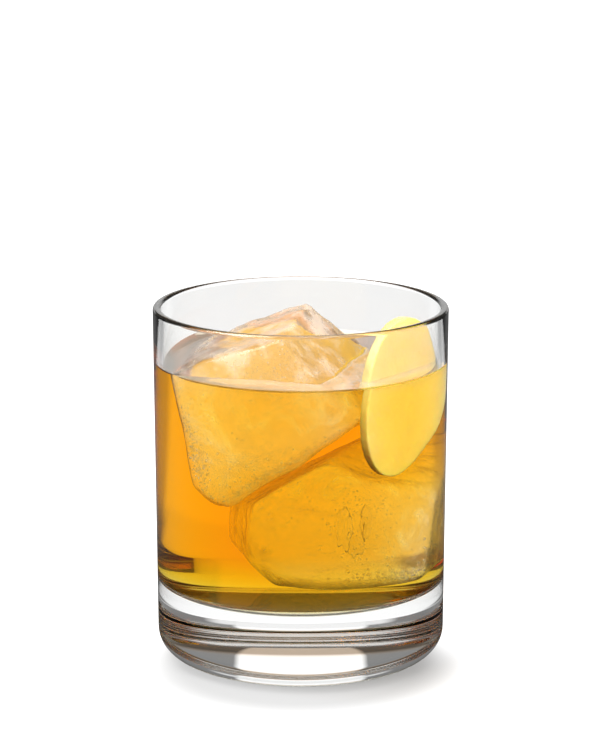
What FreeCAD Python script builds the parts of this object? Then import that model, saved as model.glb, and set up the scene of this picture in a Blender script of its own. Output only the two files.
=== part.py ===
"""A penicillin cocktail: whisky drink, ice and a slice of ginger in a heavy tumbler.

Millimetres. +Z is up, the origin is the centre of the tumbler's underside and -Y is
the front. The tumbler and the drink are turned about +Z, the block of ice is cut by
flat facets, and the ginger is an uneven oval slice that leans against the wall.
"""

import FreeCAD, Part
import Sketcher
import math
import os

Vector = FreeCAD.Vector
UP = Vector(0, 0, 1)

SIZES = {
    # the tumbler
    "height": 103.0,
    "top_radius": 42.5,
    "foot_inset": 0.7,
    "wall": 2.4,
    "floor_thick": 21.8,
    "heel_round": 7.5,
    "rim_round": 1.1,
    "cavity_round": 3.0,
    # the drink: how far its level lies under the rim
    "freeboard": 17.0,
    # the block of ice: its middle, measured down from the drink's level, and the gap
    # that it keeps to the wall, the floor and the ginger
    "ice_across": -5.0,
    "ice_forward": -8.0,
    "ice_sunk": 10.0,
    "ice_gap": 0.4,
    # the slice of ginger: its oval, how it is turned and tilted, how far it stands to
    # one side of its chord of the cavity, and how far its top lies under the rim
    "ginger_half_width": 16.4,
    "ginger_half_length": 22.2,
    "ginger_thick": 2.8,
    "ginger_turn": 51.0,
    "ginger_tilt": 23.0,
    "ginger_aside": 3.6,
    "ginger_gap": 0.3,
    "ginger_rim_drop": 0.7,
}

# Each facet of the ice: the way it faces, turned from +X and raised over the horizon
# in degrees, and its reach from the block's middle in millimetres.
ICE_FACETS = {
    "left_roof": (-175.0, 69.5, 21.4),
    "right_roof": (-20.0, 48.0, 20.0),
    "front": (-107.0, 18.0, 22.6),
    "front_low": (-96.0, -15.0, 27.0),
    "back": (83.0, 9.0, 21.3),
    "back_left": (124.0, 3.0, 23.1),
    "left": (164.0, -14.0, 22.6),
    "low_right": (-10.0, -53.0, 14.5),
    "low_left": (-160.0, -58.0, 32.0),
    "right": (13.0, -18.0, 25.4),
}

# The ginger's outline departs from an ellipse by these waves: how many bulges each has
# round the slice, their height as a share of the radius, and where the first stands.
GINGER_WAVES = ((3, 0.046, 20.0), (4, 0.018, 3.0), (5, 0.010, 2.0))
GINGER_POINTS = 24


def make_sheet(doc):
    """The driving dimensions, one named cell each."""
    sheet = doc.addObject("Spreadsheet::Sheet", "sizes")
    cells = dict(SIZES)
    for facet, (turn, rise, reach) in ICE_FACETS.items():
        cells["ice_" + facet + "_turn"] = turn
        cells["ice_" + facet + "_rise"] = rise
        cells["ice_" + facet + "_reach"] = reach
    for row, (name, value) in enumerate(cells.items(), start=1):
        sheet.set("A%d" % row, name)
        sheet.set("B%d" % row, str(value))
        sheet.setAlias("B%d" % row, name)
    doc.recompute()
    return sheet


def size(sheet, name):
    return float(sheet.get(name))


def inner_radius(sheet, z):
    """The cavity's radius at a height: its wall follows the outside's slight taper."""
    height = size(sheet, "height")
    inset = size(sheet, "foot_inset") * (height - z) / height
    return size(sheet, "top_radius") - inset - size(sheet, "wall")


def drink_level(sheet):
    return size(sheet, "height") - size(sheet, "freeboard")


def origin_plane(body, role):
    """One of a body's own origin planes, found by its role."""
    for feature in body.Origin.OriginFeatures:
        if feature.Role == role:
            return feature
    raise RuntimeError("no plane " + role)


def pin(sketch, corner, label, kind, expression):
    """Ties a corner's distance from the sketch's origin to an expression."""
    index = sketch.addConstraint(Sketcher.Constraint(kind, -1, 1, corner, 1, 10.0))
    sketch.renameConstraint(index, label)
    sketch.setExpression("Constraints." + label, expression)


def turned_profile(body, name, corners):
    """A closed outline on the body's XZ plane, turned about +Z. Each corner has a
    label and the expressions of its distance from the axis and of its height; None
    puts it on the axis or on the ground."""
    sketch = body.newObject("Sketcher::SketchObject", name + "_profile")
    sketch.AttachmentSupport = (origin_plane(body, "XZ_Plane"), [""])
    sketch.MapMode = "FlatFace"
    count = len(corners)
    # a rough ring of lines, which the constraints then pull into place
    ring = [Vector(60 + 50 * math.cos(angle), 60 + 50 * math.sin(angle), 0)
            for angle in (2 * math.pi * i / count for i in range(count))]
    for i in range(count):
        sketch.addGeometry(Part.LineSegment(ring[i], ring[(i + 1) % count]), False)
    for i in range(count):
        following = (i + 1) % count
        sketch.addConstraint(Sketcher.Constraint("Coincident", i, 2, following, 1))
    for i, (label, across, up) in enumerate(corners):
        if across is None:
            sketch.addConstraint(Sketcher.Constraint("PointOnObject", i, 1, -2))
        else:
            pin(sketch, i, label + "_across", "DistanceX", across)
        if up is None:
            sketch.addConstraint(Sketcher.Constraint("PointOnObject", i, 1, -1))
        else:
            pin(sketch, i, label + "_up", "DistanceY", up)
    turned = body.newObject("PartDesign::Revolution", name + "_turned")
    turned.Profile = sketch
    turned.ReferenceAxis = (sketch, ["V_Axis"])
    turned.Angle = 360.0
    sketch.Visibility = False
    body.Document.recompute()
    return turned


def circle_edges(shape, radius, z):
    """The names of a turned shape's round edges of that radius at that height."""
    found = []
    for number, edge in enumerate(shape.Edges, start=1):
        curve = edge.Curve
        if not isinstance(curve, Part.Circle):
            continue
        if abs(curve.Radius - radius) < 0.01 and abs(curve.Center.z - z) < 0.01:
            found.append("Edge%d" % number)
    if not found:
        raise RuntimeError("no round edge of radius %.2f at %.2f" % (radius, z))
    return found


def round_edges(body, base, name, circles, radius):
    """Rounds a turned feature's circular edges, given as (radius, height) pairs."""
    edges = []
    for circle in circles:
        edges += circle_edges(base.Shape, *circle)
    fillet = body.newObject("PartDesign::Fillet", name)
    fillet.Base = (base, edges)
    fillet.setExpression("Radius", radius)
    body.Document.recompute()
    return fillet


FOOT_RADIUS = "sizes.top_radius - sizes.foot_inset"
TAPER = "sizes.foot_inset / sizes.height"
LEVEL = "sizes.height - sizes.freeboard"
FLOOR_RADIUS = FOOT_RADIUS + " - sizes.wall + sizes.floor_thick * " + TAPER
LEVEL_RADIUS = FOOT_RADIUS + " - sizes.wall + (" + LEVEL + ") * " + TAPER


def make_glass(doc, sheet):
    """The tumbler: a tapered wall with a round rim over a thick, heavy floor."""
    body = doc.addObject("PartDesign::Body", "glass")
    body.Label = "glass"
    turned = turned_profile(body, "glass", [
        ("middle", None, None),
        ("foot", FOOT_RADIUS, None),
        ("lip", "sizes.top_radius", "sizes.height"),
        ("mouth", "sizes.top_radius - sizes.wall", "sizes.height"),
        ("corner", FLOOR_RADIUS, "sizes.floor_thick"),
        ("inside", None, "sizes.floor_thick"),
    ])
    height = size(sheet, "height")
    top = size(sheet, "top_radius")
    floor = size(sheet, "floor_thick")
    foot = [(top - size(sheet, "foot_inset"), 0.0)]
    heel = round_edges(body, turned, "heel", foot, "sizes.heel_round")
    lips = [(top, height), (top - size(sheet, "wall"), height)]
    rim = round_edges(body, heel, "rim", lips, "sizes.rim_round")
    corner = [(inner_radius(sheet, floor), floor)]
    body.Tip = round_edges(body, rim, "cavity_corner", corner, "sizes.cavity_round")
    return body


def make_fill(doc, sheet):
    """All that the cavity holds up to the drink's level."""
    body = doc.addObject("PartDesign::Body", "fill")
    turned = turned_profile(body, "fill", [
        ("under", None, "sizes.floor_thick"),
        ("corner", FLOOR_RADIUS, "sizes.floor_thick"),
        ("edge", LEVEL_RADIUS, LEVEL),
        ("surface", None, LEVEL),
    ])
    floor = size(sheet, "floor_thick")
    corner = [(inner_radius(sheet, floor), floor)]
    body.Tip = round_edges(body, turned, "fill_corner", corner, "sizes.cavity_round")
    return body


class Ginger:
    """Where the slice of ginger stands, worked out from the sheet."""

    def __init__(self, sheet):
        self.width = size(sheet, "ginger_half_width")
        self.length = size(sheet, "ginger_half_length")
        self.thick = size(sheet, "ginger_thick")
        self.tilt = math.radians(size(sheet, "ginger_tilt"))
        turn = math.radians(size(sheet, "ginger_turn"))
        self.along = Vector(math.cos(turn), math.sin(turn), 0)
        self.outward = self.along.cross(UP)
        self.aside = size(sheet, "ginger_aside")
        outline = [self.tilted(self.outline(i)) for i in range(GINGER_POINTS)]
        reach = max(abs(point.x + self.aside) for point in outline)
        top = max(point.y for point in outline)
        self.middle = size(sheet, "height") - size(sheet, "ginger_rim_drop") - top
        # its edge meets the wall, so its outer face is a chord of the cavity there
        room = inner_radius(sheet, self.middle - top) - size(sheet, "ginger_gap")
        self.outer_face = math.sqrt(room ** 2 - reach ** 2)
        self.inner_face = self.outer_face - self.thick

    def outline(self, index):
        """A point of the uneven oval, before the slice is tilted."""
        angle = 2 * math.pi * index / GINGER_POINTS
        swell = 1.0
        for count, share, first in GINGER_WAVES:
            swell += share * math.cos(count * (angle - math.radians(first)))
        return Vector(self.width * swell * math.cos(angle),
                      self.length * swell * math.sin(angle), 0)

    def tilted(self, point):
        """The top leans towards +X of the slice's own face."""
        cos, sin = math.cos(self.tilt), math.sin(self.tilt)
        return Vector(point.x * cos + point.y * sin, point.y * cos - point.x * sin, 0)

    def placement(self):
        origin = self.outward * self.inner_face + self.along * self.aside
        origin += UP * self.middle
        return FreeCAD.Placement(origin, FreeCAD.Rotation(self.along, UP, self.outward))


def make_ginger(doc, sheet):
    """The slice of ginger: an uneven oval, cut square through the root, on end."""
    ginger = Ginger(sheet)
    points = [ginger.tilted(ginger.outline(i)) for i in range(GINGER_POINTS)]
    curve = Part.BSplineCurve()
    curve.interpolate(Points=points, PeriodicFlag=True)
    face = Part.Face(Part.Wire(curve.toShape()))
    feature = doc.addObject("Part::Feature", "ginger_slice")
    feature.Label = "ginger_slice"
    feature.Shape = face.extrude(UP * ginger.thick)
    feature.Placement = ginger.placement()
    return feature


def beyond(normal, reach, middle, span):
    """A large box whose one face lies square to a normal, at a reach from a middle,
    and which holds all that is further out."""
    box = Part.makeBox(span * 2, span * 2, span, Vector(-span, -span, 0))
    box.Placement = FreeCAD.Placement(
        middle + normal * reach, FreeCAD.Rotation(UP, normal))
    return box


def make_ice(doc, sheet):
    """The block of ice: a cube worn to flat facets, which stands out of the drink."""
    middle = Vector(size(sheet, "ice_across"), size(sheet, "ice_forward"),
                    drink_level(sheet) - size(sheet, "ice_sunk"))
    span = size(sheet, "top_radius") + size(sheet, "height")
    waste = []
    for facet in ICE_FACETS:
        turn = math.radians(size(sheet, "ice_" + facet + "_turn"))
        rise = math.radians(size(sheet, "ice_" + facet + "_rise"))
        normal = Vector(math.cos(rise) * math.cos(turn),
                        math.cos(rise) * math.sin(turn), math.sin(rise))
        reach = size(sheet, "ice_" + facet + "_reach")
        waste.append(beyond(normal, reach, middle, span))
    gap = size(sheet, "ice_gap")
    ginger = Ginger(sheet)
    waste.append(beyond(ginger.outward, ginger.inner_face - gap, Vector(), span))
    # the block stays inside the wall and over the floor, whatever its own size
    floor = size(sheet, "floor_thick") + gap
    rim = size(sheet, "height")
    room = Part.makeCone(inner_radius(sheet, floor) - gap,
                         inner_radius(sheet, rim) - gap, rim - floor,
                         Vector(0, 0, floor))
    feature = doc.addObject("Part::Feature", "ice_block")
    feature.Label = "ice_block"
    feature.Shape = room.cut(waste).removeSplitter().Solids[0]
    return feature


def make_drink(doc, fill, sunk):
    """The drink: the cavity's fill, cut round each thing that stands in it."""
    drink = fill
    for thing in sunk:
        cut = doc.addObject("Part::Cut", "round_" + thing.Name)
        cut.Base = drink
        cut.Tool = thing
        drink = cut
    drink.Label = "drink"
    return drink


def check(doc, parts, cavity, drink, sunk):
    """Stops if an object failed, if a part isn't one sound solid, or if the drink
    isn't the cavity's fill without the things that stand in it."""
    for item in doc.Objects:
        for state in ("Invalid", "Error"):
            if state in item.State:
                raise RuntimeError(item.Name + " is " + state)
    for part in parts:
        shape = part.Shape
        if shape.isNull() or not shape.isValid() or len(shape.Solids) != 1:
            raise RuntimeError(part.Label + " isn't one sound solid")
    wet = sum(cavity.Shape.common(thing.Shape).Volume for thing in sunk)
    if abs(cavity.Shape.Volume - wet - drink.Shape.Volume) > 1.0:
        raise RuntimeError("the drink isn't cut round what stands in it")


def main():
    doc = FreeCAD.newDocument("penicillin_cocktail")
    sheet = make_sheet(doc)
    glass = make_glass(doc, sheet)
    fill = make_fill(doc, sheet)
    ice = make_ice(doc, sheet)
    ginger = make_ginger(doc, sheet)
    drink = make_drink(doc, fill, [ice, ginger])
    doc.recompute()
    parts = [glass, drink, ice, ginger]
    check(doc, parts, fill, drink, [ice, ginger])
    os.makedirs("parts", exist_ok=True)
    for part in parts:
        part.Shape.exportStep(os.path.join("parts", part.Label + ".step"))
        print(part.Label, "%.0f mm3" % part.Shape.Volume, part.Shape.BoundBox)


main()
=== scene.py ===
"""The looks of the penicillin cocktail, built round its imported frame.

Metres. The tumbler, the drink and the ice are real refracting meshes. The drink's mesh
reaches just into the tumbler's wall and has a hollow for each thing sunk in it, and
each such thing reaches just past its hollow, so that no film of air shows between
them. The drink and each block of ice are a body, which takes light away as it passes,
and an open skin a hair's breadth off it, which bends the light.
"""

import math
import random

import bmesh
import bpy
import numpy as np
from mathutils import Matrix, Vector, noise
from mathutils.bvhtree import BVHTree


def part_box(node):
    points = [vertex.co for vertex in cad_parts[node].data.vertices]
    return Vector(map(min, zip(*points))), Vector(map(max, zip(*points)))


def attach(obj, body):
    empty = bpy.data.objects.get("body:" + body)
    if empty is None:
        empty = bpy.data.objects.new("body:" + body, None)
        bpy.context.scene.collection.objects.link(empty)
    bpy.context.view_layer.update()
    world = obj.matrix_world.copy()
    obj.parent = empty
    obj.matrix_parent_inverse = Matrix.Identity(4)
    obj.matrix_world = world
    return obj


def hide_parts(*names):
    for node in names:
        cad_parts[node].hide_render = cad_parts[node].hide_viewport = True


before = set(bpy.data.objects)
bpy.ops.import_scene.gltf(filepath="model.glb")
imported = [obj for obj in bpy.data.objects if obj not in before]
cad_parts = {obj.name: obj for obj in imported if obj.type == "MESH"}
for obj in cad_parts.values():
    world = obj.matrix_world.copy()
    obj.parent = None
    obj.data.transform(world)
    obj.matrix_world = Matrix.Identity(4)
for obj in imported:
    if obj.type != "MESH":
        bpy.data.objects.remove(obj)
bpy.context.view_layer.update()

MM = 0.001
TURNS = 256
ON_AXIS = 1e-9

# a skin's distance from its body, and the slack in comparing heights
HAIR = 0.01 * MM

# The marks that faces carry, which become their materials. A body's plain faces bend no
# light. On the drink the third mark is its face against ice, on ice it is a bubble.
PLAIN, OPEN, SOAKED, BUBBLE, CRACK = 0, 1, 2, 2, 3
MARKS = 4


def ring_radius(node, low, high):
    """The widest radius of a CAD node between two heights."""
    return max(math.hypot(v.co.x, v.co.y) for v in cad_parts[node].data.vertices
               if low <= v.co.z <= high)


# the tumbler, measured on the frame but for its rounds
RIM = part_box("glass")[1].z
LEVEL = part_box("drink")[1].z
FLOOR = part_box("drink")[0].z
TOP_RADIUS = ring_radius("glass", 0, RIM)
HEEL_ROUND = 7.5 * MM
FOOT_RADIUS = ring_radius("glass", 0, HEEL_ROUND + 0.1 * MM)
INNER_TOP = ring_radius("drink", LEVEL - HAIR, LEVEL + HAIR)
WALL_SLOPE = (TOP_RADIUS - FOOT_RADIUS) / (RIM - HEEL_ROUND)
RIM_ROUND = 1.1 * MM
CAVITY_ROUND = 3.0 * MM

# how far the drink's edge climbs what it wets, and over what distance it falls off
MENISCUS = 1.3 * MM
MENISCUS_REACH = 1.3 * MM

# how much of that height the standing ice is wetted to
WET_SHARE = 0.9

# how far the drink reaches into the wall, and how far a hollow lies inside its thing
INTO_WALL = 0.15 * MM
SINK = 0.05 * MM

# the fineness of the worn ice and ginger, and how far the melting reaches over the level
ICE_VOXEL = 0.8 * MM
GINGER_VOXEL = 0.35 * MM
MELT_REACH = 6 * MM

# how far the sunk block stays off the wall, the cavity's floor and the level
SUNK_ROOM = 0.9 * MM


def inner_radius(z):
    """The cavity's radius at a height."""
    return INNER_TOP + (z - LEVEL) * WALL_SLOPE


# ---------------------------------------------------------------- mesh helpers

def new_object(name, verts, faces):
    mesh = bpy.data.meshes.new(name)
    mesh.from_pydata([tuple(v) for v in verts], [], faces)
    mesh.validate()
    mesh.update()
    obj = bpy.data.objects.new(name, mesh)
    bpy.context.scene.collection.objects.link(obj)
    return obj


def shade_smooth(obj):
    obj.data.polygons.foreach_set("use_smooth", [True] * len(obj.data.polygons))
    obj.data.update()


def lathe(name, profile, turns=TURNS):
    """Turns an outline about +Z. It starts and ends on the axis."""
    verts = []
    for radius, z in profile:
        if radius < ON_AXIS:
            verts.append((0.0, 0.0, z))
            continue
        for i in range(turns):
            angle = 2 * math.pi * i / turns
            verts.append((radius * math.cos(angle), radius * math.sin(angle), z))
    starts = []
    count = 0
    for radius, z in profile:
        starts.append(count)
        count += 1 if radius < ON_AXIS else turns
    faces = []
    for k in range(len(profile) - 1):
        a, b = starts[k], starts[k + 1]
        tip_a, tip_b = profile[k][0] < ON_AXIS, profile[k + 1][0] < ON_AXIS
        for i in range(turns):
            j = (i + 1) % turns
            if tip_a and tip_b:
                continue
            if tip_a:
                faces.append((a, b + j, b + i))
            elif tip_b:
                faces.append((a + i, a + j, b))
            else:
                faces.append((a + i, a + j, b + j, b + i))
    return new_object(name, verts, faces)


def arc(centre_r, centre_z, radius, start, end, steps):
    """Points of an arc in the outline's plane, from one angle to another in degrees."""
    points = []
    for i in range(steps + 1):
        angle = math.radians(start + (end - start) * i / steps)
        points.append((centre_r + radius * math.cos(angle),
                       centre_z + radius * math.sin(angle)))
    return points


def apply_modifiers(obj):
    graph = bpy.context.evaluated_depsgraph_get()
    mesh = bpy.data.meshes.new_from_object(obj.evaluated_get(graph))
    old = obj.data
    obj.modifiers.clear()
    obj.data = mesh
    bpy.data.meshes.remove(old)
    return obj


def weld(obj, distance=1e-6):
    work = bmesh.new()
    work.from_mesh(obj.data)
    bmesh.ops.remove_doubles(work, verts=work.verts, dist=distance)
    bmesh.ops.recalc_face_normals(work, faces=work.faces)
    work.to_mesh(obj.data)
    work.free()


def positions(obj):
    co = np.empty(len(obj.data.vertices) * 3)
    obj.data.vertices.foreach_get("co", co)
    return co.reshape(-1, 3)


def normals(obj):
    out = np.empty(len(obj.data.vertices) * 3)
    obj.data.vertices.foreach_get("normal", out)
    return out.reshape(-1, 3)


def set_positions(obj, co):
    obj.data.vertices.foreach_set("co", np.ascontiguousarray(co).ravel())
    obj.data.update()


def remesh(obj, voxel):
    modifier = obj.modifiers.new("remesh", "REMESH")
    modifier.mode = "VOXEL"
    modifier.voxel_size = voxel
    return apply_modifiers(obj)


def smooth(obj, factor, times):
    modifier = obj.modifiers.new("smooth", "SMOOTH")
    modifier.factor = factor
    modifier.iterations = times
    return apply_modifiers(obj)


def roughen(obj, layers, seed):
    """Moves each point along its normal by layers of smooth noise, each given as the
    size of its lumps and its height."""
    co, nor = positions(obj), normals(obj)
    shift = Vector((seed * 7.3, seed * 3.1, seed * 5.7))
    move = np.zeros(len(co))
    for i, point in enumerate(co):
        for lump, height in layers:
            move[i] += height * noise.noise(Vector(point) / lump + shift)
    set_positions(obj, co + nor * move[:, None])


def copy_object(obj, name):
    twin = obj.copy()
    twin.data = obj.data.copy()
    twin.name = name
    twin.data.name = name
    bpy.context.scene.collection.objects.link(twin)
    return twin


def shrunk(obj, name, distance):
    """A copy whose surface lies a little inside the original's."""
    twin = copy_object(obj, name)
    set_positions(twin, positions(twin) - normals(twin) * distance)
    return twin


def mark_faces(obj, rule):
    """Marks each face by a rule on its centre and normal."""
    for _ in range(MARKS - len(obj.data.materials)):
        obj.data.materials.append(None)
    for face in obj.data.polygons:
        face.material_index = rule(face.center, face.normal)


def cut(obj, tool, operation="DIFFERENCE"):
    """Cuts a closed mesh with another, which is used up."""
    modifier = obj.modifiers.new("cut", "BOOLEAN")
    modifier.operation = operation
    modifier.solver = "MANIFOLD"
    modifier.object = tool
    apply_modifiers(obj)
    bpy.data.objects.remove(tool)


def add_hollow(obj, tool):
    """Adds a closed mesh that lies wholly inside, turned inside out, as a hollow."""
    work = bmesh.new()
    work.from_mesh(obj.data)
    inner = bmesh.new()
    inner.from_mesh(tool.data)
    bmesh.ops.reverse_faces(inner, faces=inner.faces)
    spare = bpy.data.meshes.new("spare")
    inner.to_mesh(spare)
    inner.free()
    work.from_mesh(spare)
    work.to_mesh(obj.data)
    work.free()
    bpy.data.meshes.remove(spare)
    bpy.data.objects.remove(tool)


def dress(obj, materials):
    """Gives a finished piece its materials and body."""
    marks = [face.material_index for face in obj.data.polygons]
    obj.data.materials.clear()
    for material in materials:
        obj.data.materials.append(material)
    obj.data.polygons.foreach_set("material_index", marks)
    shade_smooth(obj)
    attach(obj, "root")
    return obj


# ------------------------------------------------------------------- materials

def new_material(name):
    material = bpy.data.materials.new(name)
    material.use_nodes = True
    tree = material.node_tree
    shader = next(n for n in tree.nodes if n.type == "BSDF_PRINCIPLED")
    output = next(n for n in tree.nodes if n.type == "OUTPUT_MATERIAL")
    return material, tree, shader, output


def add_node(tree, kind, **values):
    made = tree.nodes.new(kind)
    for key, value in values.items():
        setattr(made, key, value)
    return made


def math_node(tree, operation, *values):
    """A sum of numbers and sockets."""
    made = add_node(tree, "ShaderNodeMath", operation=operation)
    for i, value in enumerate(values):
        if isinstance(value, (int, float)):
            made.inputs[i].default_value = value
        else:
            tree.links.new(value, made.inputs[i])
    return made.outputs[0]


def ramp_node(tree, value, start, end, low=0.0, high=1.0):
    """A smooth step between two values of its input."""
    made = add_node(tree, "ShaderNodeMapRange", interpolation_type="SMOOTHSTEP")
    tree.links.new(value, made.inputs["Value"])
    for name, number in (("From Min", start), ("From Max", end), ("To Min", low),
                         ("To Max", high)):
        made.inputs[name].default_value = number
    return made.outputs["Result"]


def mix_shaders(tree, share, first, second):
    """Two shaders blended: the first alone where the share is 0."""
    mix = add_node(tree, "ShaderNodeMixShader")
    for socket, given in zip(mix.inputs, (share, first, second)):
        tree.links.new(given, socket)
    return mix.outputs["Shader"]


def add_shaders(tree, first, second):
    both = add_node(tree, "ShaderNodeAddShader")
    tree.links.new(first, both.inputs[0])
    tree.links.new(second, both.inputs[1])
    return both.outputs["Shader"]


def noise_node(tree, coords, scale, detail, roughness=0.5, distortion=0.0):
    """Uneven patches laid out in the object's own space."""
    made = add_node(tree, "ShaderNodeTexNoise")
    for name, number in (("Scale", scale), ("Detail", detail), ("Roughness", roughness),
                         ("Distortion", distortion)):
        made.inputs[name].default_value = number
    tree.links.new(coords.outputs["Object"], made.inputs["Vector"])
    return made.outputs["Fac"]


def add_bump(tree, shader, height, strength, distance):
    bump = add_node(tree, "ShaderNodeBump")
    bump.inputs["Strength"].default_value = strength
    bump.inputs["Distance"].default_value = distance
    tree.links.new(height, bump.inputs["Height"])
    tree.links.new(bump.outputs["Normal"], shader.inputs["Normal"])


def add_volume(tree, kind, color, density):
    volume = add_node(tree, kind)
    volume.inputs["Color"].default_value = (*color, 1)
    volume.inputs["Density"].default_value = density
    return volume


# the light that a clear thing lets through its own shadow
CLEAR_SHADOW = (0.9, 0.9, 0.9, 1)


def clear_shader(name, index, tint=(1.0, 1.0, 1.0), roughness=0.0):
    """A refracting material that lets lamp light through its own shadow."""
    material, tree, shader, output = new_material(name)
    shader.inputs["Base Color"].default_value = (*tint, 1)
    shader.inputs["Roughness"].default_value = roughness
    shader.inputs["IOR"].default_value = index
    shader.inputs["Transmission Weight"].default_value = 1.0
    path = add_node(tree, "ShaderNodeLightPath")
    through = add_node(tree, "ShaderNodeBsdfTransparent")
    through.inputs["Color"].default_value = CLEAR_SHADOW
    tree.links.new(mix_shaders(tree, path.outputs["Is Shadow Ray"],
                               shader.outputs["BSDF"], through.outputs["BSDF"]),
                   output.inputs["Surface"])
    return material, tree, shader, output


# Where two clear things touch, one face bends the light for both: it has the ratio of
# their indices, and the other's face there has none.
GLASS_INDEX, DRINK_INDEX, ICE_INDEX = 1.5, 1.345, 1.31
NO_INDEX = 1.0
GLASS_TINT = (0.985, 0.99, 0.985)

# how much of a ray from inside the base the drink's underside mirrors, and how far up
# the cavity's wall that fades
UNDERSIDE_MIRROR = 0.85
MIRROR_START, MIRROR_END = 0.5 * MM, 2 * MM


def glass_materials():
    """The dry wall, then the wall that the drink wets."""
    wet, tree, shader, output = clear_shader("wet_glass", GLASS_INDEX / DRINK_INDEX,
                                             GLASS_TINT)
    side = add_node(tree, "ShaderNodeNewGeometry")
    mirror = add_node(tree, "ShaderNodeBsdfGlossy")
    mirror.inputs["Color"].default_value = (0.9, 0.9, 0.9, 1)
    mirror.inputs["Roughness"].default_value = 0.0
    split = add_node(tree, "ShaderNodeSeparateXYZ")
    tree.links.new(side.outputs["Position"], split.inputs["Vector"])
    under = ramp_node(tree, split.outputs["Z"], FLOOR + MIRROR_START,
                      FLOOR + MIRROR_END, UNDERSIDE_MIRROR, 0)
    share = math_node(tree, "MULTIPLY", under, side.outputs["Backfacing"])
    before = output.inputs["Surface"].links[0].from_socket
    tree.links.new(mix_shaders(tree, share, before, mirror.outputs["BSDF"]),
                   output.inputs["Surface"])
    return [clear_shader("clear_glass", GLASS_INDEX, GLASS_TINT)[0], wet]


def drink_material():
    """The drink's body, of amber whisky, lemon and honey: deeper the more of it light
    crosses."""
    material, tree, shader, output = clear_shader("amber_drink", NO_INDEX)
    amber = add_volume(tree, "ShaderNodeVolumeAbsorption", (0.995, 0.866, 0.0), 118.0)
    tree.links.new(amber.outputs["Volume"], output.inputs["Volume"])
    return material


def cloudy_ice_material(name, cloud):
    """The ice's body: faintly clouded, and tinted by the drink."""
    material, tree, shader, output = clear_shader(name, NO_INDEX)
    tint = add_volume(tree, "ShaderNodeVolumeAbsorption", (0.99, 0.68, 0.0), 20.0)
    scatter = add_volume(tree, "ShaderNodeVolumeScatter", (1.0, 0.97, 0.92), cloud)
    scatter.inputs["Anisotropy"].default_value = 0.3
    tree.links.new(add_shaders(tree, tint.outputs["Volume"], scatter.outputs["Volume"]),
                   output.inputs["Volume"])
    return material


def skin_materials():
    """The drink's faintly clouded open surface, then its face against ice."""
    surface, tree, shader, output = clear_shader("drink_surface", DRINK_INDEX,
                                                 (1.0, 0.9, 0.74))
    shader.inputs["Transmission Weight"].default_value = 0.83
    return [surface, soaked_skin_material()]


def soaked_skin_material():
    """The drink's face against ice, with the ice's frost in pale, uneven patches."""
    material, tree, shader, output = clear_shader(
        "drink_on_ice", DRINK_INDEX / ICE_INDEX, (1.0, 0.97, 0.88), roughness=0.1)
    coords = add_node(tree, "ShaderNodeTexCoord")
    frost = noise_node(tree, coords, 75.0, 8.0, roughness=0.7, distortion=0.8)
    clear = ramp_node(tree, frost, 0.45, 0.68, 0.98, 0.7)
    tree.links.new(clear, shader.inputs["Transmission Weight"])
    add_bump(tree, shader, frost, 0.8, 1.5 * MM)
    return material


def air_material(name, index, roughness, clear):
    """The pale skin of the air that froze into the ice."""
    material, tree, shader, output = clear_shader(name, index, (1.0, 0.97, 0.9),
                                                  roughness)
    shader.inputs["Transmission Weight"].default_value = clear
    return material


def ice_material(name, frost):
    """Ice in the open: clear, with frosted patches and a rippled, melting skin."""
    material, tree, shader, output = clear_shader(name, ICE_INDEX, (1.0, 0.96, 0.91))
    coords = add_node(tree, "ShaderNodeTexCoord")
    patches = noise_node(tree, coords, 90.0, 5.0, roughness=0.65)
    rough = ramp_node(tree, patches, 0.5, 0.68, 0.02, frost)
    tree.links.new(rough, shader.inputs["Roughness"])
    clear = ramp_node(tree, patches, 0.43, 0.62, 0.985, 0.8)
    tree.links.new(clear, shader.inputs["Transmission Weight"])
    add_bump(tree, shader, noise_node(tree, coords, 420.0, 4.0), 0.25, 0.4 * MM)
    return material


def ginger_material():
    """Moist ginger flesh: pale yellow in uneven patches, and paler under the drink's level
    as painted light, making up for the light the drink takes away.
    """
    material, tree, shader, output = new_material("fresh_ginger")
    coords = add_node(tree, "ShaderNodeTexCoord")
    flesh = add_node(tree, "ShaderNodeValToRGB")
    for element, position, color in zip(flesh.color_ramp.elements, (0.3, 0.75),
                                        ((0.74, 0.49, 0.13, 1), (0.81, 0.60, 0.24, 1))):
        element.position = position
        element.color = color
    tree.links.new(noise_node(tree, coords, 55.0, 4.0), flesh.inputs["Fac"])
    split = add_node(tree, "ShaderNodeSeparateXYZ")
    tree.links.new(coords.outputs["Object"], split.inputs["Vector"])
    # painted light: the flesh is paler under the drink's level, to make up for the light
    # the drink takes away
    paler_as_painted_light = ramp_node(tree, split.outputs["Z"], LEVEL - 2 * MM, LEVEL + 2 * MM, 0.65, 0)
    pale = add_node(tree, "ShaderNodeMixRGB")
    tree.links.new(paler_as_painted_light, pale.inputs["Fac"])
    tree.links.new(flesh.outputs["Color"], pale.inputs["Color1"])
    pale.inputs["Color2"].default_value = (0.9, 0.75, 0.5, 1)
    tree.links.new(pale.outputs["Color"], shader.inputs["Base Color"])
    shader.inputs["Roughness"].default_value = 0.42
    shader.inputs["Subsurface Weight"].default_value = 0.5
    shader.inputs["Subsurface Radius"].default_value = (1.0, 0.6, 0.2)
    shader.inputs["Subsurface Scale"].default_value = 5 * MM
    add_bump(tree, shader, noise_node(tree, coords, 900.0, 3.0), 0.4, 0.15 * MM)
    return material


# ---------------------------------------------------------------------- pieces

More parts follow.
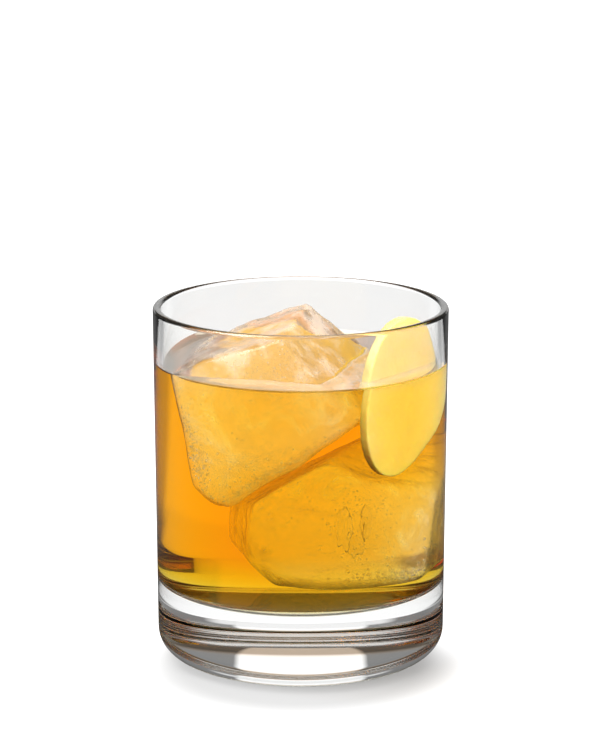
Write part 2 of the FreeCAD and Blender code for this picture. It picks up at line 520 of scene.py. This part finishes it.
def make_tumbler():
    """The turned glass, its faces under the drink marked as wet."""
    profile = [(0.0, 0.0)]
    profile += arc(FOOT_RADIUS - HEEL_ROUND, HEEL_ROUND, HEEL_ROUND, -90, 0, 24)
    profile += arc(TOP_RADIUS - RIM_ROUND, RIM - RIM_ROUND, RIM_ROUND, 0, 90, 12)
    inner_rim = inner_radius(RIM)
    profile += arc(inner_rim + RIM_ROUND, RIM - RIM_ROUND, RIM_ROUND, 90, 180, 12)
    wet = LEVEL + MENISCUS
    profile.append((inner_radius(wet), wet))
    corner = inner_radius(FLOOR) - CAVITY_ROUND
    profile += arc(corner, FLOOR + CAVITY_ROUND, CAVITY_ROUND, 0, -90, 14)
    profile.append((0.0, FLOOR))
    tumbler = lathe("tumbler", profile)
    weld(tumbler)
    middle = (TOP_RADIUS + INNER_TOP) / 2
    mark_faces(tumbler, lambda place, normal: int(
        FLOOR - HAIR < place.z < wet
        and math.hypot(place.x, place.y) < middle - 0.1 * MM
        and (normal.z > 0.5 or normal.x * place.x + normal.y * place.y < 0)))
    dress(tumbler, glass_materials())
    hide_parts("glass")
    return tumbler


def melt(obj, times):
    """Rounds what lies under the drink's level more than the rest."""
    before = positions(obj)
    smooth(obj, 0.5, times)
    share = np.clip((before[:, 2] - LEVEL + MELT_REACH) / MELT_REACH, 0, 1)[:, None]
    set_positions(obj, before * share + positions(obj) * (1 - share))


def make_ice_chunk():
    """The block that stands out of the drink, its facets worn and rippled."""
    block = copy_object(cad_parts["ice_block"], "ice_chunk")
    block.parent = None
    weld(block)
    remesh(block, ICE_VOXEL)
    smooth(block, 0.5, 10)
    melt(block, 60)
    roughen(block, ((14 * MM, 0.9 * MM), (5 * MM, 0.35 * MM)), 1)
    return block


def cavity_room(inset):
    """The cavity's room, a little inside its wall and over its floor."""
    low, high = FLOOR + inset, LEVEL - inset
    return lathe("room", [(0, low), (inner_radius(low) - inset, low),
                          (inner_radius(high) - inset, high), (0, high)])


# Each facet of the sunk block: the way it faces, turned from +X and raised over the
# horizon in degrees, and its reach from the block's middle in millimetres.
SUNK_MIDDLE = (10.0, 0.0, 45.0)
SUNK_FACETS = (
    (170.0, 53.0, 15.3), (-20.0, 62.0, 18.3), (-176.0, 4.0, 24.0), (180.0, -41.0, 25.9),
    (-40.0, -86.0, 20.5), (-93.0, -5.0, 24.0), (-55.0, 12.0, 27.5), (88.0, 6.0, 22.0),
    (2.0, -8.0, 25.0), (-122.0, -35.0, 28.0), (140.0, -10.0, 25.0),
)


def faceted(name, middle, facets):
    """A closed solid, flat where each facet cuts it."""
    work = bmesh.new()
    bmesh.ops.create_cube(work, size=200 * MM)
    for turn, rise, reach in facets:
        turn, rise = math.radians(turn), math.radians(rise)
        normal = Vector((math.cos(rise) * math.cos(turn),
                         math.cos(rise) * math.sin(turn), math.sin(rise)))
        cut = bmesh.ops.bisect_plane(
            work, geom=work.verts[:] + work.edges[:] + work.faces[:], dist=1e-7,
            plane_co=normal * reach * MM, plane_no=normal, clear_outer=True)
        rim = [item for item in cut["geom_cut"] if isinstance(item, bmesh.types.BMEdge)]
        bmesh.ops.edgeloop_fill(work, edges=rim)
    bmesh.ops.translate(work, vec=Vector(middle) * MM, verts=work.verts)
    bmesh.ops.triangulate(work, faces=work.faces)
    bmesh.ops.recalc_face_normals(work, faces=work.faces)
    mesh = bpy.data.meshes.new(name)
    work.to_mesh(mesh)
    work.free()
    block = bpy.data.objects.new(name, mesh)
    bpy.context.scene.collection.objects.link(block)
    return block


def make_sunk_ice():
    """A block of ice that lies wholly under the drink's level."""
    block = faceted("sunk_ice", SUNK_MIDDLE, SUNK_FACETS)
    cut(block, cavity_room(SUNK_ROOM), "INTERSECT")
    remesh(block, ICE_VOXEL)
    smooth(block, 0.5, 60)
    roughen(block, ((16 * MM, 0.8 * MM), (5 * MM, 0.3 * MM)), 2)
    return block


def bubble_cloud(name, spots):
    """Many small round bubbles as one mesh. Each spot is a place and a radius."""
    work = bmesh.new()
    bmesh.ops.create_icosphere(work, subdivisions=2, radius=1.0)
    ball = np.array([vert.co[:] for vert in work.verts])
    faces = np.array([[vert.index for vert in face.verts] for face in work.faces])
    work.free()
    verts, polys = [], []
    for number, (place, radius) in enumerate(spots):
        verts.append(ball * radius + np.array(place))
        polys.append(faces + number * len(ball))
    return new_object(name, np.concatenate(verts), np.concatenate(polys).tolist())


def fracture(name, middle, facing, length, width, seed):
    """A thin, crumpled sheet of air, as a crack leaves in ice."""
    rings, turns = 14, 56
    verts, faces = [], []
    normal = Vector(facing).normalized()
    along = normal.orthogonal().normalized() if abs(normal.z) > 0.9 else (
        Vector((0, 0, 1)) - normal * normal.z).normalized()
    across = normal.cross(along)
    shift = Vector((seed * 3.7, seed * 1.9, seed))
    for side in (1, -1):
        for r in range(rings + 1):
            share = r / rings
            for t in range(turns):
                angle = 2 * math.pi * t / turns
                swell = 1 + 0.35 * noise.noise(
                    Vector((math.cos(angle), math.sin(angle), 0)) * 1.6 + shift)
                u = share * swell * math.cos(angle) * length / 2
                v = share * swell * math.sin(angle) * width / 2
                crumple = noise.noise(Vector((u, v, 0)) / (2.2 * MM) + shift)
                crumple += 0.5 * noise.noise(Vector((u, v, 0)) / (0.8 * MM) - shift)
                depth = side * 0.16 * MM * math.sqrt(max(1 - share ** 2, 0))
                depth += crumple * 0.5 * MM
                verts.append(Vector(middle) + along * u + across * v + normal * depth)
    ring = (rings + 1) * turns
    for r in range(rings):
        for t in range(turns):
            a, b = r * turns + t, r * turns + (t + 1) % turns
            faces.append((a, b, b + turns, a + turns))
            faces.append((ring + a, ring + a + turns, ring + b + turns, ring + b))
    sheet = new_object(name, verts, faces)
    weld(sheet, 1e-7)
    return sheet


def make_ginger():
    """The slice of ginger, its cut faces and skin a little uneven."""
    slab = copy_object(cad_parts["ginger_slice"], "ginger")
    slab.parent = None
    weld(slab)
    remesh(slab, GINGER_VOXEL)
    smooth(slab, 0.5, 3)
    roughen(slab, ((6 * MM, 0.25 * MM), (1.2 * MM, 0.08 * MM)), 3)
    return slab


def inside(tree, point):
    """How deep a point lies inside a closed mesh; negative outside."""
    place, normal, _, gap = tree.find_nearest(Vector(point))
    return gap if (Vector(point) - place).dot(normal) < 0 else -gap


def scatter_bubbles(block, name, count, middle, spread, sizes, depth=None):
    """Hollows out bubbles round a middle, all inside the block. With a depth they lie
    within that distance of its skin."""
    tree = BVHTree.FromObject(block, bpy.context.evaluated_depsgraph_get())
    spots, tries = [], 0
    while len(spots) < count and tries < count * 60:
        tries += 1
        place = [random.gauss(m, s) * MM for m, s in zip(middle, spread)]
        radius = random.triangular(sizes[0], sizes[1], sizes[0]) * MM
        deep = inside(tree, place)
        if deep < radius + 0.12 * MM or (depth and deep > depth * MM):
            continue
        spots.append((place, radius))
    if spots:
        cloud = bubble_cloud(name, spots)
        mark_faces(cloud, lambda place, normal: BUBBLE)
        add_hollow(block, cloud)


def cloud_ice(chunk, sunk):
    """Cracks and bubbles that froze into the ice."""
    for middle, facing, length, width, seed in (
            ((10.5, -19.0, 43.5), (0.8, -1.0, 0.1), 13, 5, 1),
            ((16.0, -18.5, 44.5), (-0.6, -1.0, 0.2), 10, 4, 2),
            ((13.5, -18.0, 37.5), (0.1, -1.0, -0.3), 7, 4, 3)):
        place = [value * MM for value in middle]
        sheet = fracture("crack", place, facing, length * MM, width * MM, seed)
        mark_faces(sheet, lambda place, normal: CRACK)
        add_hollow(sunk, sheet)
    scatter_bubbles(sunk, "speckle", 260, (26, -14, 28), (8, 9, 4), (0.16, 0.6), 2.5)
    scatter_bubbles(sunk, "milk", 300, (12, -8, 46), (6, 7, 8), (0.07, 0.22))
    scatter_bubbles(sunk, "skin", 260, (8, -12, 45), (14, 12, 14), (0.1, 0.36), 1.5)
    scatter_bubbles(chunk, "edge", 320, (-8, -20, 60), (14, 10, 5), (0.12, 0.44), 1.8)
    scatter_bubbles(chunk, "gable", 240, (0, -26, 90), (10, 7, 5), (0.07, 0.26), 1.6)
    scatter_bubbles(chunk, "flank", 200, (-28, -12, 62), (6, 12, 9), (0.1, 0.4), 1.5)


def dress_ice(block):
    """The block's skin, with its bubbles and cracks, then its cloudy body."""
    skin = make_skin(block, block.name + "_skin")
    dress(skin, [ice_material(block.name + "_open", 0.6),
                 air_material(block.name + "_bubbles", 1.12, 0.1, 0.8),
                 air_material(block.name + "_cracks", 1.22, 0.15, 0.93)])
    dress(block, [cloudy_ice_material(block.name, 13.0)])


def fill_outline():
    """The drink's outline, from the middle of its underside to that of its surface."""
    corner = inner_radius(FLOOR) - CAVITY_ROUND
    bottom = FLOOR - INTO_WALL
    rings = 8
    profile = [(0.0, bottom)]
    profile += [(corner * i / rings, bottom) for i in range(1, rings)]
    profile += arc(corner, FLOOR + CAVITY_ROUND, CAVITY_ROUND + INTO_WALL, -90, 0, 14)
    steps = 10
    profile += [(inner_radius(z) + INTO_WALL, z) for z in
                (FLOOR + (LEVEL - FLOOR) * i / steps for i in range(2, steps))]
    edge = inner_radius(LEVEL) + INTO_WALL
    profile.append((edge, LEVEL))
    # the rings lie closer near the wall, where the surface lifts
    rings = 64
    profile += [(edge * (1 - i / rings) ** 0.85, LEVEL) for i in range(1, rings)]
    profile.append((0.0, LEVEL))
    return profile


def lift_edge(drink, standing):
    """Lifts the surface where it wets the wall and what stands in it."""
    graph = bpy.context.evaluated_depsgraph_get()
    trees = [BVHTree.FromObject(thing, graph) for thing in standing]
    wall = inner_radius(LEVEL)
    co = positions(drink)
    for i, point in enumerate(co):
        if abs(point[2] - LEVEL) > HAIR:
            continue
        near = max(wall - math.hypot(point[0], point[1]), 0.0)
        for tree in trees:
            near = min(near, tree.find_nearest(Vector(point))[3])
        co[i][2] += MENISCUS * math.exp(-near / MENISCUS_REACH)
    set_positions(drink, co)


def make_cocktail(standing, sunk):
    """The drink: a turned fill with a lifted edge, cut round what stands in it and
    hollow round what is sunk in it."""
    drink = lathe("cocktail", fill_outline())
    weld(drink)
    lift_edge(drink, standing)
    mark_faces(drink, lambda place, normal: int(
        place.z > LEVEL - HAIR and normal.z > 0.1))
    for thing in standing + sunk:
        tool = shrunk(thing, "tool", SINK)
        mark_faces(tool, lambda place, normal: SOAKED)
        if thing in standing:
            cut(drink, tool)
        else:
            add_hollow(drink, tool)
    return drink


def make_skin(body, name):
    """The faces of a body that bend light, a hair's breadth off it. The body keeps its
    plain faces to itself, and all of its faces are plain from here on."""
    skin = copy_object(body, name)
    work = bmesh.new()
    work.from_mesh(skin.data)
    plain = [face for face in work.faces if face.material_index == PLAIN]
    bmesh.ops.delete(work, geom=plain, context="FACES")
    for face in work.faces:
        face.material_index -= 1
    work.to_mesh(skin.data)
    work.free()
    set_positions(skin, positions(skin) + normals(skin) * HAIR)
    mark_faces(body, lambda place, normal: PLAIN)
    return skin


# ---------------------------------------------------------------- stage, lights

def product(tree, first, *more):
    for value in more:
        first = math_node(tree, "MULTIPLY", first, value)
    return first


def side_angle(tree, split):
    """How far a direction lies to either side of straight behind, in degrees."""
    turn = math_node(tree, "ARCTAN2", split.outputs["X"], split.outputs["Y"])
    return math_node(tree, "ABSOLUTE", product(tree, turn, 180 / math.pi))


def make_world():
    """White to the camera. To glass it is a studio: grey walls, a white panel that
    stands behind, light at its foot and a soft light overhead. Angles are in degrees,
    aside of straight behind and up from the horizon."""
    world = bpy.data.worlds.new("studio")
    bpy.context.scene.world = world
    world.use_nodes = True
    tree = world.node_tree
    tree.nodes.clear()
    output = add_node(tree, "ShaderNodeOutputWorld")
    path = add_node(tree, "ShaderNodeLightPath")
    coords = add_node(tree, "ShaderNodeTexCoord")
    split = add_node(tree, "ShaderNodeSeparateXYZ")
    tree.links.new(coords.outputs["Generated"], split.inputs["Vector"])
    aside = side_angle(tree, split)
    rise = product(tree, math_node(tree, "ARCSINE", split.outputs["Z"]), 180 / math.pi)
    # the walls: lighter to the sides and higher up, dim in front and when mirrored
    walls = math_node(tree, "ADD", ramp_node(tree, aside, 45, 95, 0.24, 0.6),
                      ramp_node(tree, rise, 14, 34, 0.0, 0.2))
    mirrored = math_node(tree, "MULTIPLY_ADD", path.outputs["Is Reflection Ray"],
                         -0.6, 1.0)
    walls = product(tree, walls, ramp_node(tree, aside, 100, 140, 1, 0.4), mirrored)
    overhead = ramp_node(tree, rise, 50, 65, 0.0, 1.1)
    high = math_node(tree, "MAXIMUM", walls, overhead)
    # through glass, walls and overhead light dim with height
    dimming = product(tree, path.outputs["Is Transmission Ray"],
                      ramp_node(tree, rise, 20, 26, 0.0, -0.75))
    high = product(tree, high, math_node(tree, "ADD", dimming, 1.0))
    # the panel: its edges, its brighter middle, its dimmer upper half and its top
    panel = product(tree, ramp_node(tree, aside, 17, 21, 1.0, 0.0),
                    ramp_node(tree, rise, 9, 13, 0.95, 1.2),
                    ramp_node(tree, rise, 20, 24, 1.0, 0.48),
                    ramp_node(tree, rise, 36, 42, 1.0, 0.0))
    foot = product(tree, ramp_node(tree, aside, 22, 34, 0.9, 0.0),
                   ramp_node(tree, rise, 5, 12, 1.0, 0.0))
    studio = math_node(tree, "MAXIMUM", high, math_node(tree, "MAXIMUM", foot, panel))
    # a warm belt half way up, for all but the camera
    warmth = add_node(tree, "ShaderNodeMixRGB")
    warmth.inputs["Color1"].default_value = (1, 1, 1, 1)
    warmth.inputs["Color2"].default_value = (1.0, 0.8, 0.62, 1)
    belt = product(tree, ramp_node(tree, rise, 18, 24, 0.0, 1.0),
                   ramp_node(tree, rise, 38, 46, 1.0, 0.0),
                   math_node(tree, "SUBTRACT", 1.0, path.outputs["Is Camera Ray"]))
    tree.links.new(belt, warmth.inputs["Fac"])
    glow = add_node(tree, "ShaderNodeBackground")
    tree.links.new(warmth.outputs["Color"], glow.inputs["Color"])
    tree.links.new(math_node(tree, "MAXIMUM", path.outputs["Is Camera Ray"], studio),
                   glow.inputs["Strength"])
    tree.links.new(glow.outputs["Background"], output.inputs["Surface"])


# the floor's half width, its gap under the tumbler, and what is left under the object of
# the glow that the camera sees, which makes the painted shadow
FLOOR_HALF = 3.0
FLOOR_GAP = 0.3 * MM
GLOW_LEFT_IN_PAINTED_SHADOW = 0.08


def make_floor():
    """A white floor. To the camera it is as white as the backdrop but for the soft shadow.
    The lamps cast part of that shadow, and the rest is a painted shadow where the glow
    falls off round the tumbler. Through glass it glows with painted light, a ring and a
    fan behind the tumbler, with painted shadow close round it, dimmer in front. Distances
    are in metres, angles in degrees aside of straight behind."""
    low = -FLOOR_GAP
    floor = new_object("floor", [(-FLOOR_HALF, -FLOOR_HALF, low),
                                 (FLOOR_HALF, -FLOOR_HALF, low),
                                 (FLOOR_HALF, FLOOR_HALF, low),
                                 (-FLOOR_HALF, FLOOR_HALF, low)], [(0, 1, 2, 3)])
    material, tree, shader, output = new_material("pale_floor")
    shader.inputs["Base Color"].default_value = (0.35, 0.35, 0.35, 1)
    shader.inputs["Roughness"].default_value = 1.0
    shader.inputs["Specular IOR Level"].default_value = 0.0
    path = add_node(tree, "ShaderNodeLightPath")
    coords = add_node(tree, "ShaderNodeTexCoord")
    split = add_node(tree, "ShaderNodeSeparateXYZ")
    tree.links.new(coords.outputs["Object"], split.inputs["Vector"])
    span = add_node(tree, "ShaderNodeVectorMath", operation="LENGTH")
    tree.links.new(coords.outputs["Object"], span.inputs[0])
    far = span.outputs["Value"]
    aside = side_angle(tree, split)
    # painted light: to rays through glass the floor glows in a ring and a fan behind the
    # tumbler, darker close round it as painted shadow, dimmer in front and where mirrored
    beyond = ramp_node(tree, far, 0.3, 0.42, 1.0, 0.8)
    ring = product(tree, ramp_node(tree, far, 0.1, 0.15, 0.4, 1.2),
                   ramp_node(tree, far, 0.5, 0.9, 1.0, 0.2), beyond,
                   ramp_node(tree, aside, 30, 38, 1.0, 0.6))
    fan = product(tree, ramp_node(tree, aside, 26, 38, 1.1, 0.25), beyond)
    behind = ramp_node(tree, split.outputs["Y"], -0.05, 0.08, 0.55, 1.0)
    mirrored = math_node(tree, "MULTIPLY_ADD", path.outputs["Is Reflection Ray"],
                         -0.8, 1.0)
    lit = product(tree, behind, math_node(tree, "MAXIMUM", ring, fan), mirrored)
    # The camera's painted shadow, added to the cast one, is an oval where the glow falls
    # off, a little in front of the glass.
    spot = add_node(tree, "ShaderNodeVectorMath", operation="MULTIPLY_ADD")
    tree.links.new(coords.outputs["Object"], spot.inputs[0])
    spot.inputs[1].default_value = (0.88, 1.0, 1.0)
    spot.inputs[2].default_value = (0.0, 0.02, 0.0)
    reach = add_node(tree, "ShaderNodeVectorMath", operation="LENGTH")
    tree.links.new(spot.outputs["Vector"], reach.inputs[0])
    glow_with_painted_shadow = ramp_node(tree, reach.outputs["Value"], 0.028, 0.053, GLOW_LEFT_IN_PAINTED_SHADOW, 1.0)
    bare = math_node(tree, "SUBTRACT", 1.0, path.outputs["Is Camera Ray"])
    share = math_node(tree, "ADD", product(tree, bare, lit),
                      product(tree, path.outputs["Is Camera Ray"], glow_with_painted_shadow))
    glow = add_node(tree, "ShaderNodeEmission")
    tree.links.new(share, glow.inputs["Strength"])
    # lamps light the floor for the camera alone
    both = add_shaders(tree, shader.outputs["BSDF"], glow.outputs["Emission"])
    tree.links.new(mix_shaders(tree, path.outputs["Is Camera Ray"],
                               glow.outputs["Emission"], both),
                   output.inputs["Surface"])
    floor.data.materials.append(material)


def make_lamp(name, place, aim, size, power):
    lamp = bpy.data.lights.new(name, "AREA")
    lamp.shape = "DISK"
    lamp.size = size
    lamp.energy = power
    obj = bpy.data.objects.new(name, lamp)
    obj.location = place
    obj.rotation_euler = (Vector(aim) - Vector(place)).to_track_quat("-Z", "Y").to_euler()
    bpy.context.scene.collection.objects.link(obj)
    return obj


def make_lamps():
    """A soft key lamp overhead at the left and a fill from the front right."""
    key = make_lamp("key", place=(-0.5, -0.15, 0.9), aim=(0, 0, 0.05), size=0.7,
                    power=13)
    key.visible_transmission = False
    fill = make_lamp("fill", place=(0.6, -0.8, 0.5), aim=(0, 0, 0.07), size=0.5,
                     power=24)
    fill.visible_transmission = False
    fill.visible_glossy = False


# the camera's place, how far it looks down in degrees, and its lens in millimetres
CAMERA_PLACE = (-0.0002, -0.8, 0.2715)
CAMERA_TILT = 13.31
CAMERA_LENS = 136.7


def make_camera():
    data = bpy.data.cameras.new("camera")
    data.lens = CAMERA_LENS
    data.clip_start = 0.01
    camera = bpy.data.objects.new("camera", data)
    camera.location = CAMERA_PLACE
    camera.rotation_euler = (math.radians(90 - CAMERA_TILT), 0, 0)
    bpy.context.scene.collection.objects.link(camera)
    bpy.context.scene.camera = camera


def set_light_paths():
    """Enough bounces for cracks and bubbles behind glass, drink and ice not to go dark."""
    cycles = bpy.context.scene.cycles
    cycles.max_bounces = 26
    cycles.transmission_bounces = 26
    cycles.glossy_bounces = 8
    cycles.transparent_max_bounces = 24
    cycles.volume_bounces = 2
    cycles.caustics_reflective = False
    cycles.caustics_refractive = False


def main():
    random.seed(4)
    make_camera()
    set_light_paths()
    make_world()
    make_floor()
    make_lamps()
    make_tumbler()
    chunk = make_ice_chunk()
    sunk = make_sunk_ice()
    ginger = make_ginger()
    drink = make_cocktail([chunk, ginger], [sunk])
    dress(make_skin(drink, "drink_skin"), skin_materials())
    dress(drink, [drink_material()])
    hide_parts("drink")
    wet = LEVEL + WET_SHARE * MENISCUS
    mark_faces(chunk, lambda place, normal: OPEN if place.z > wet else PLAIN)
    mark_faces(sunk, lambda place, normal: PLAIN)
    cloud_ice(chunk, sunk)
    for block in (chunk, sunk):
        dress_ice(block)
    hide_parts("ice_block")
    dress(ginger, [ginger_material()])
    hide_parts("ginger_slice")
    bpy.context.scene.view_settings.view_transform = "Standard"


main()
